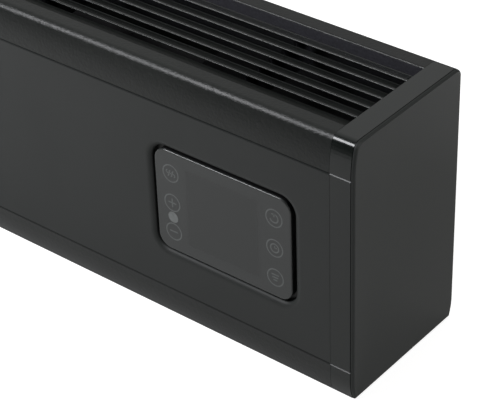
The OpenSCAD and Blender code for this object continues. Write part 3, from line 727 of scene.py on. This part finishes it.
middle = display_middle()
glass_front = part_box("display_glass")[0].y
PRINT_T = 0.02 * MM
KEY_OUT = 43.7 * MM
KEY_PITCH = 23.7 * MM
KEYS_RIGHT = 0.1 * MM
KEYS_DOWN = 0.9 * MM
KEY_RING_R = 7.0 * MM
RING_W = 0.9 * MM
STROKE_W = 1.0 * MM
FINE_STROKE_W = 0.8 * MM
ROUND_ICON_R = 3.3 * MM
SIGN_ARM = 3.6 * MM
# Just short of half a stroke's width, so that its round corners don't meet
ROUND_END = 0.499

# Select modes of the mesh editor
SELECT_POINTS = (True, False, False)
SELECT_FACES = (False, False, True)


def select_all_in_edit_mode(piece):
    bpy.ops.object.select_all(action="DESELECT")
    piece.select_set(True)
    bpy.context.view_layer.objects.active = piece
    bpy.ops.object.mode_set(mode="EDIT")
    bpy.ops.mesh.select_all(action="SELECT")


def bar(x, z, width, height):
    """A straight stroke with round ends, flat on the glass"""
    bpy.ops.mesh.primitive_plane_add(
        size=1, location=(x, glass_front, z), rotation=(math.pi / 2, 0, 0)
    )
    stroke = bpy.context.active_object
    stroke.scale = (width, height, 1)
    bpy.ops.object.transform_apply(location=False, rotation=False, scale=True)
    select_all_in_edit_mode(stroke)
    bpy.ops.mesh.bevel(
        offset=ROUND_END * min(width, height),
        segments=5,
        affect="VERTICES",
        clamp_overlap=True,
    )
    bpy.ops.object.mode_set(mode="OBJECT")
    return stroke


def arc(x, z, radius, start, sweep, line=STROKE_W, steps=36):
    """A curved stroke: a short line across the stroke, spun about the arc's centre"""
    outward = Vector((math.cos(start), 0, math.sin(start)))
    centre = Vector((x, glass_front, z))
    bpy.ops.mesh.primitive_plane_add(size=line, location=centre + radius * outward)
    stroke = bpy.context.active_object
    select_all_in_edit_mode(stroke)
    bpy.ops.mesh.merge(type="COLLAPSE")
    across = line * outward
    bpy.ops.transform.translate(value=-across / 2)
    bpy.ops.mesh.extrude_region_move(TRANSFORM_OT_translate={"value": across})
    bpy.ops.mesh.select_all(action="SELECT")
    bpy.ops.mesh.spin(steps=steps, angle=-sweep, center=centre, axis=(0, 1, 0))
    bpy.ops.mesh.select_all(action="SELECT")
    bpy.ops.mesh.remove_doubles(threshold=0.001 * MM)
    bpy.ops.object.mode_set(mode="OBJECT")
    return stroke


def turn_faces_to_the_front(mark):
    tools = bpy.context.tool_settings
    bpy.ops.object.mode_set(mode="EDIT")
    tools.mesh_select_mode = SELECT_FACES
    bpy.ops.mesh.select_all(action="DESELECT")
    bpy.ops.object.mode_set(mode="OBJECT")
    for face in mark.data.polygons:
        face.select = face.normal.y > 0
    bpy.ops.object.mode_set(mode="EDIT")
    bpy.ops.mesh.flip_normals()
    tools.mesh_select_mode = SELECT_POINTS
    bpy.ops.object.mode_set(mode="OBJECT")


def print_key(name, strokes):
    """Joins a key's strokes into one piece of printed ink that rides on the heater"""
    bpy.ops.object.select_all(action="DESELECT")
    for stroke in strokes:
        stroke.select_set(True)
    bpy.context.view_layer.objects.active = strokes[0]
    bpy.ops.object.join()
    mark = bpy.context.active_object
    mark.name = name
    mark.data.name = name
    bpy.ops.object.transform_apply(location=True, rotation=True, scale=True)
    turn_faces_to_the_front(mark)
    ink = mark.modifiers.new("ink", "SOLIDIFY")
    ink.thickness = PRINT_T
    ink.offset = 1.0
    bpy.ops.object.modifier_apply(modifier=ink.name)
    mark.data.materials.clear()
    mark.data.materials.append(key_ink)
    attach(mark, "heater")


def ring(x, z):
    return arc(
        x, z, KEY_RING_R - RING_W / 2, start=0, sweep=2 * math.pi, line=RING_W, steps=48
    )


def heat_waves(x, z):
    pitch, bend_r = 2.6 * MM, 1.1 * MM
    return [
        arc(
            x + column * pitch,
            z + half * bend_r,
            bend_r,
            start=-half * math.pi / 2,
            sweep=math.pi,
            line=FINE_STROKE_W,
            steps=12,
        )
        for column in (-1, 0, 1)
        for half in (1, -1)
    ]


def plus(x, z):
    half = STROKE_W / 2
    return [bar(x, z, 2 * SIGN_ARM, STROKE_W)] + [
        bar(x, z + up * (SIGN_ARM + half) / 2, STROKE_W, SIGN_ARM - half)
        for up in (-1, 1)
    ]


def minus(x, z):
    return [bar(x, z, 2 * SIGN_ARM, STROKE_W)]


def power(x, z):
    gap = math.radians(36)
    return [
        arc(x, z, ROUND_ICON_R, start=math.pi / 2 + gap, sweep=2 * math.pi - 2 * gap),
        bar(x, z + 2.5 * MM, STROKE_W, 3.2 * MM),
    ]


def timer(x, z):
    return [
        arc(x, z, ROUND_ICON_R, start=0, sweep=2 * math.pi),
        bar(x, z + 0.9 * MM, FINE_STROKE_W, 2.0 * MM),
        bar(x + 1.25 * MM, z + 0.3 * MM, 1.6 * MM, FINE_STROKE_W),
    ]


def settings(x, z):
    pitch, line = 2.2 * MM, 0.9 * MM
    return [
        bar(x, z + up * pitch, width, line)
        for up, width in ((1, 6.4 * MM), (0, 5.0 * MM), (-1, 3.6 * MM))
    ]


for name, side, row, icon in (
    ("key_heat", -1, 1, heat_waves),
    ("key_plus", -1, 0, plus),
    ("key_minus", -1, -1, minus),
    ("key_power", 1, 1, power),
    ("key_timer", 1, 0, timer),
    ("key_settings", 1, -1, settings),
):
    x = middle.x + KEYS_RIGHT + side * KEY_OUT
    z = middle.z - KEYS_DOWN + row * KEY_PITCH
    print_key(name, [ring(x, z)] + icon(x, z))


# Floor, light and camera

# White that the floor adds to itself, and that lights nothing: as the eye sees it, as
# the heater mirrors it, and what is added to that behind the heater
SEEN_LIFT = 0.75
MIRRORED_LIFT = 0.05
BEHIND_LIFT = 0.5
BEHIND_START, BEHIND_FULL = 0.3, 0.6


def pale_floor():
    """A pale table top that ends a good way in front of the heater, and that the back
    mirrors more brightly; it lies just under the heater, so that the two never touch"""
    bpy.ops.mesh.primitive_plane_add(size=1, location=(0, 0.5, -0.5 * MM))
    floor = bpy.context.active_object
    floor.name = "floor"
    floor.scale = (4.0, 2.4, 1)
    bpy.ops.object.transform_apply(location=True, rotation=False, scale=True)
    finish, tree, shader, place = new_finish(
        "pale_floor", {"Roughness": 0.9, "Specular IOR Level": 0.2}
    )
    tone = add(
        tree,
        "ValToRGB",
        {"Fac": cloudy(tree, place, 400 * MM)},
        stops=[(USUAL_LOW, "#c3c3c2"), (USUAL_HIGH, "#c7c7c6")],
    )
    tree.links.new(tone.outputs["Color"], shader.inputs["Base Color"])
    path = add(tree, "LightPath")
    mirrored = add(
        tree,
        "Math",
        {0: path.outputs["Is Glossy Ray"], 1: path.outputs["Is Transmission Ray"]},
        operation="MAXIMUM",
    )
    depth = add(tree, "SeparateXYZ", {0: place}).outputs["Y"]
    behind = step_up(tree, depth, BEHIND_START, BEHIND_FULL)
    in_mirror = add(
        tree,
        "Math",
        {0: behind, 1: BEHIND_LIFT, 2: MIRRORED_LIFT},
        operation="MULTIPLY_ADD",
    )
    seen = add(
        tree,
        "Math",
        {0: path.outputs["Is Camera Ray"], 1: SEEN_LIFT},
        operation="MULTIPLY",
    )
    lift = add(
        tree,
        "Math",
        {0: mirrored.outputs[0], 1: in_mirror.outputs[0], 2: seen.outputs[0]},
        operation="MULTIPLY_ADD",
    )
    glow = add(tree, "Emission", {"Color": (1, 1, 1, 1), "Strength": lift.outputs[0]})
    both = add(tree, "AddShader", {0: shader.outputs["BSDF"], 1: glow.outputs[0]})
    out = next(n for n in tree.nodes if n.type == "OUTPUT_MATERIAL")
    tree.links.new(both.outputs[0], out.inputs["Surface"])
    floor.data.materials.append(finish)


def softbox(name, place, target, width, height, radiance, tint=(1, 1, 1)):
    """A rectangular light of the given radiance, its long side level"""
    lamp = bpy.data.lights.new(name, "AREA")
    lamp.color = tint
    lamp.shape = "RECTANGLE"
    lamp.size = width
    lamp.size_y = height
    lamp.energy = radiance * math.pi * width * height
    stand = bpy.data.objects.new(name, lamp)
    stand.location = place
    aim = Vector(target) - Vector(place)
    stand.rotation_mode = "QUATERNION"
    stand.rotation_quaternion = aim.to_track_quat("-Z", "Y")
    bpy.context.scene.collection.objects.link(stand)


def glow_towards(tree, direction, aim, start, full, strength):
    """Light that grows from a start to a full cosine about an aim, up to a strength"""
    cosine = add(
        tree,
        "VectorMath",
        {0: direction, 1: Vector(aim).normalized()},
        operation="DOT_PRODUCT",
    )
    rise = step_up(tree, cosine.outputs["Value"], start, full)
    return add(tree, "Math", {0: rise, 1: strength}, operation="MULTIPLY").outputs[0]


def studio():
    """A dim room with a large bright wall behind on the left, a softer ceiling, a long
    strip light above the front and a fill light on the right; the eye sees plain white
    beyond the floor"""
    room_glow = 0.02
    world = bpy.data.worlds.new("studio")
    world.use_nodes = True
    tree = world.node_tree
    tree.nodes.clear()
    direction = add(tree, "TexCoord").outputs["Generated"]
    wall = glow_towards(
        tree, direction, aim=(-0.5, 0.5, 0.71), start=0.72, full=0.96, strength=0.66
    )
    ceiling = glow_towards(
        tree, direction, aim=(0, 0.25, 1), start=0.7, full=0.95, strength=0.7
    )
    brightest = add(tree, "Math", {0: wall, 1: ceiling}, operation="MAXIMUM")
    room = add(tree, "Math", {0: brightest.outputs[0], 1: room_glow}, operation="ADD")
    camera_ray = add(tree, "LightPath").outputs["Is Camera Ray"]
    shown = add(tree, "Math", {0: room.outputs[0], 1: camera_ray}, operation="MAXIMUM")
    sky = add(tree, "Background", {"Color": (1, 1, 1, 1), "Strength": shown.outputs[0]})
    out = add(tree, "OutputWorld")
    tree.links.new(sky.outputs[0], out.inputs["Surface"])
    bpy.context.scene.world = world
    softbox(
        "fill_light",
        place=(1.5, 0.05, 0.75),
        target=(0.42, 0.05, 0.0),
        width=0.8,
        height=0.8,
        radiance=5.2,
    )
    softbox(
        "strip_light",
        place=(-0.56, -0.91, 1.045),
        target=(-0.56, -0.054, 0.197),
        width=0.85,
        height=0.5,
        radiance=19.2,
        tint=(0.965, 0.97, 1.0),
    )
    bpy.context.scene.view_settings.view_transform = "Standard"


def camera():
    """Looks at the display's end from the front right and above. Its angles and focal
    length, and where it sees the middle of the display end's upright front corner, are
    those fitted to the object's straight edges"""
    azimuth, elevation, roll = (math.radians(a) for a in (39.85, 34.51, 1.98))
    focal_px, image_w, sensor = 1855.6, 500, 36.0
    corner = Vector((375.0, -58.5, 100.0)) * MM
    corner_from_eye = Vector((65.2, -50.8, -1166.1)) * MM
    back = Vector(
        (
            math.sin(azimuth) * math.cos(elevation),
            -math.cos(azimuth) * math.cos(elevation),
            math.sin(elevation),
        )
    )
    right = Vector((0, 0, 1)).cross(back).normalized()
    up = back.cross(right)
    level = Matrix((right, up, back))
    to_world = (Matrix.Rotation(roll, 3, "Z") @ level).transposed()
    data = bpy.data.cameras.new("camera")
    data.sensor_width = sensor
    data.lens = sensor * focal_px / image_w
    data.clip_start, data.clip_end = 0.05, 60
    eye = bpy.data.objects.new("camera", data)
    eye.rotation_mode = "QUATERNION"
    eye.rotation_quaternion = to_world.to_quaternion()
    eye.location = corner - to_world @ corner_from_eye
    bpy.context.scene.collection.objects.link(eye)
    bpy.context.scene.camera = eye


pale_floor()
studio()
camera()
